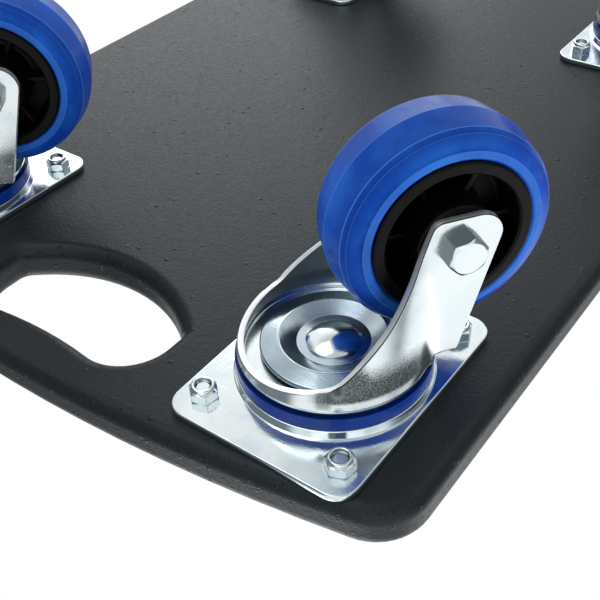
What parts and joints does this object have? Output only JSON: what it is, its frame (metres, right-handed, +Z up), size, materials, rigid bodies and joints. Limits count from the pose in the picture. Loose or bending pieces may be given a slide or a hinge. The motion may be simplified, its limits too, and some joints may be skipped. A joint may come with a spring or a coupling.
{
  "type": "caster board",
  "caption": "Low transport board with a bowed front edge and a bean-shaped hand hole, rolling on free swivel casters with blue solid-rubber wheels in pressed steel forks.",
  "frame": {"origin": "on the floor under the middle of the board", "axes": "+Z up, the board's length along Y with the bowed front edge and the hand hole towards -Y, its width along X"},
  "size_m": [0.343, 0.46, 0.12],
  "materials": {
    "coated_board": "structured paint",
    "zinc_steel": "bright zinc",
    "zinc_bolt": "bright zinc",
    "ball_steel": "polished",
    "blue_rubber": "satin",
    "blue_seal": "satin",
    "black_plastic": "moulded",
    "cage_plastic": "moulded"
  },
  "bodies": {
    "board": {"board": "coated_board", "plate_bolts": "zinc_bolt", "plate_nuts": "zinc_bolt", "front_left_top_plate": "zinc_steel", "front_left_seal_ring": "blue_seal", "front_left_upper_ball_row": "ball_steel", "front_left_lower_ball_row": "ball_steel", "front_left_race_cup": "zinc_steel", "front_left_king_pin": "zinc_steel", "front_right_top_plate": "zinc_steel", "front_right_seal_ring": "blue_seal", "front_right_upper_ball_row": "ball_steel", "front_right_lower_ball_row": "ball_steel", "front_right_race_cup": "zinc_steel", "front_right_king_pin": "zinc_steel", "back_left_top_plate": "zinc_steel", "back_left_seal_ring": "blue_seal", "back_left_upper_ball_row": "ball_steel", "back_left_lower_ball_row": "ball_steel", "back_left_race_cup": "zinc_steel", "back_left_king_pin": "zinc_steel", "back_right_top_plate": "zinc_steel", "back_right_seal_ring": "blue_seal", "back_right_upper_ball_row": "ball_steel", "back_right_lower_ball_row": "ball_steel", "back_right_race_cup": "zinc_steel", "back_right_king_pin": "zinc_steel"},
    "front_left_swivel": {"front_left_fork": "zinc_steel", "front_left_axle_sleeve": "zinc_steel", "front_left_axle_bolt": "zinc_bolt", "front_left_axle_nut": "zinc_bolt"},
    "front_left_wheel": {"front_left_tyre": "blue_rubber", "front_left_rim": "black_plastic", "front_left_roller_bearing": "cage_plastic"},
    "front_right_swivel": {"front_right_fork": "zinc_steel", "front_right_axle_sleeve": "zinc_steel", "front_right_axle_bolt": "zinc_bolt", "front_right_axle_nut": "zinc_bolt"},
    "front_right_wheel": {"front_right_tyre": "blue_rubber", "front_right_rim": "black_plastic", "front_right_roller_bearing": "cage_plastic"},
    "back_left_swivel": {"back_left_fork": "zinc_steel", "back_left_axle_sleeve": "zinc_steel", "back_left_axle_bolt": "zinc_bolt", "back_left_axle_nut": "zinc_bolt"},
    "back_left_wheel": {"back_left_tyre": "blue_rubber", "back_left_rim": "black_plastic", "back_left_roller_bearing": "cage_plastic"},
    "back_right_swivel": {"back_right_fork": "zinc_steel", "back_right_axle_sleeve": "zinc_steel", "back_right_axle_bolt": "zinc_bolt", "back_right_axle_nut": "zinc_bolt"},
    "back_right_wheel": {"back_right_tyre": "blue_rubber", "back_right_rim": "black_plastic", "back_right_roller_bearing": "cage_plastic"}
  },
  "joints": [
    {"name": "front_left_swivel", "type": "hinge", "parent": "board", "child": "front_left_swivel", "pos_m": [-0.1122, -0.164, 0.0903], "axis": [0, 0, 1], "continuous": true},
    {"name": "front_left_roll", "type": "hinge", "parent": "front_left_swivel", "child": "front_left_wheel", "pos_m": [-0.13342, -0.13369, 0.04], "axis": [-0.8192, -0.5736, 0], "continuous": true},
    {"name": "front_right_swivel", "type": "hinge", "parent": "board", "child": "front_right_swivel", "pos_m": [0.1122, -0.164, 0.0903], "axis": [0, 0, 1], "continuous": true},
    {"name": "front_right_roll", "type": "hinge", "parent": "front_right_swivel", "child": "front_right_wheel", "pos_m": [0.08227, -0.14225, 0.04], "axis": [-0.5878, -0.809, 0], "continuous": true},
    {"name": "back_left_swivel", "type": "hinge", "parent": "board", "child": "back_left_swivel", "pos_m": [-0.1122, 0.169, 0.0903], "axis": [0, 0, 1], "continuous": true},
    {"name": "back_left_roll", "type": "hinge", "parent": "back_left_swivel", "child": "back_left_wheel", "pos_m": [-0.12485, 0.13423, 0.04], "axis": [0.9397, -0.342, 0], "continuous": true},
    {"name": "back_right_swivel", "type": "hinge", "parent": "board", "child": "back_right_swivel", "pos_m": [0.1122, 0.169, 0.0903], "axis": [0, 0, 1], "continuous": true},
    {"name": "back_right_roll", "type": "hinge", "parent": "back_right_swivel", "child": "back_right_wheel", "pos_m": [0.07646, 0.17858, 0.04], "axis": [-0.2588, -0.9659, 0], "continuous": true}
  ]
}
